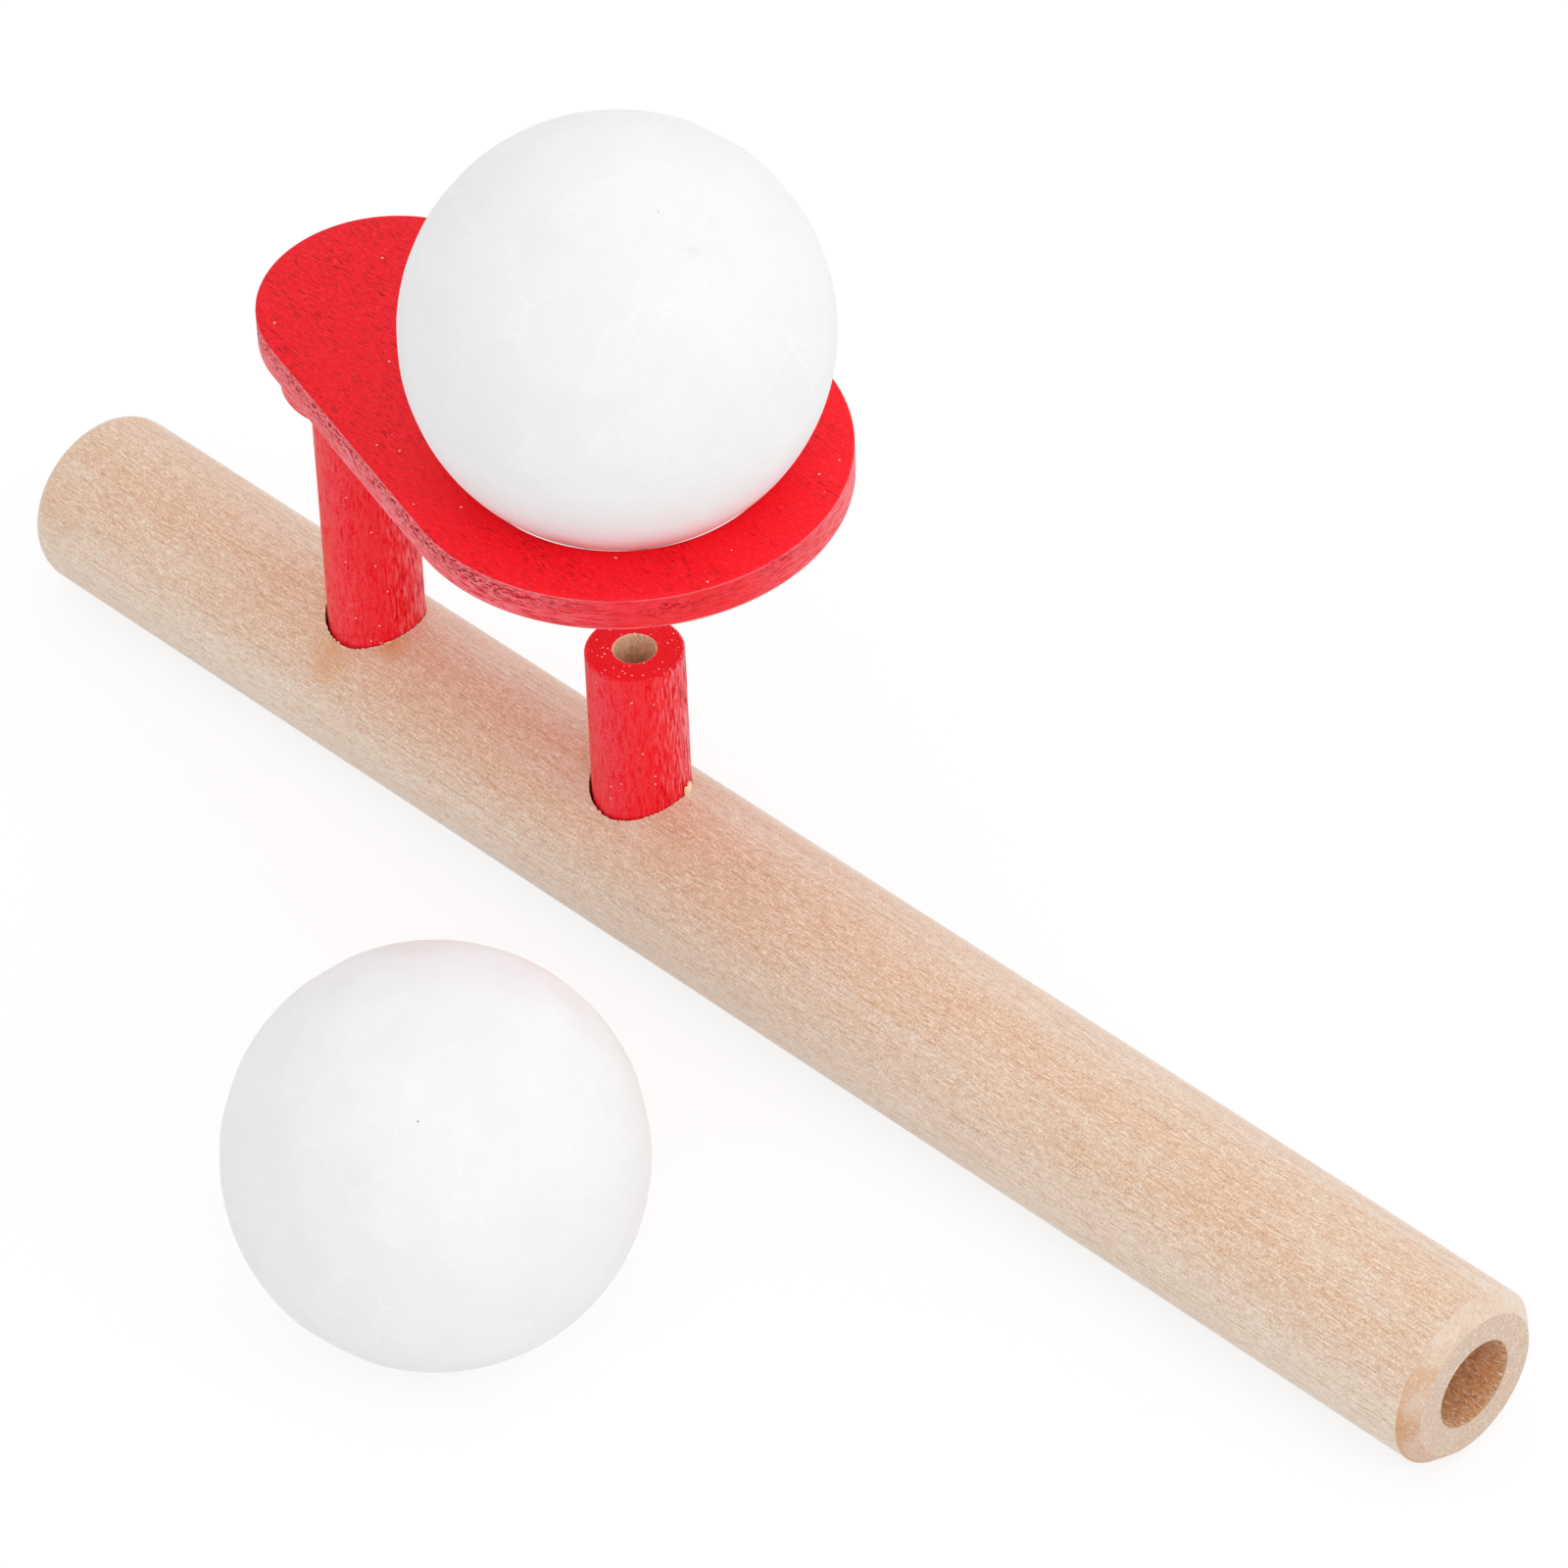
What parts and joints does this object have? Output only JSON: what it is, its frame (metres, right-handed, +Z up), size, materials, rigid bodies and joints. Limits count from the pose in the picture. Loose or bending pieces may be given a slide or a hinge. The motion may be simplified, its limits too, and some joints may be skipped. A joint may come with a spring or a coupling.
{
  "type": "blow ball pipe toy",
  "caption": "Wooden blow pipe toy: a breath through the pipe and its upright nozzle lifts a foam ball off an egg-shaped plate on a post.",
  "frame": {"origin": "on the narrow flat under the pipe, straight below the nozzle's air jet", "axes": "+X along the pipe to the mouth end, +Z up along the air jet, +Y to the side away from the spare ball"},
  "size_m": [0.182, 0.0908, 0.0925],
  "materials": {
    "bare_hardwood": "turned and sanded pale hardwood, bare",
    "red_painted_wood": "red paint brushed on wood, grain showing through, satin",
    "polystyrene_foam": "expanded polystyrene foam, white, faint bead pattern"
  },
  "bodies": {
    "toy": {"pipe": "bare_hardwood", "nozzle": "red_painted_wood", "post": "red_painted_wood", "collar": "red_painted_wood", "ball_plate": "red_painted_wood"},
    "game_ball": {"game_ball": "polystyrene_foam"},
    "spare_ball": {"spare_ball": "polystyrene_foam"}
  },
  "joints": [
    {"name": "game_ball_lift", "type": "slide", "parent": "toy", "child": "game_ball", "axis": [0, 0, 1], "range_m": [0, 0.08]},
    {"name": "spare_ball_lift", "type": "slide", "parent": "toy", "child": "spare_ball", "axis": [0, 0, 1], "range_m": [0, 0.06]}
  ]
}
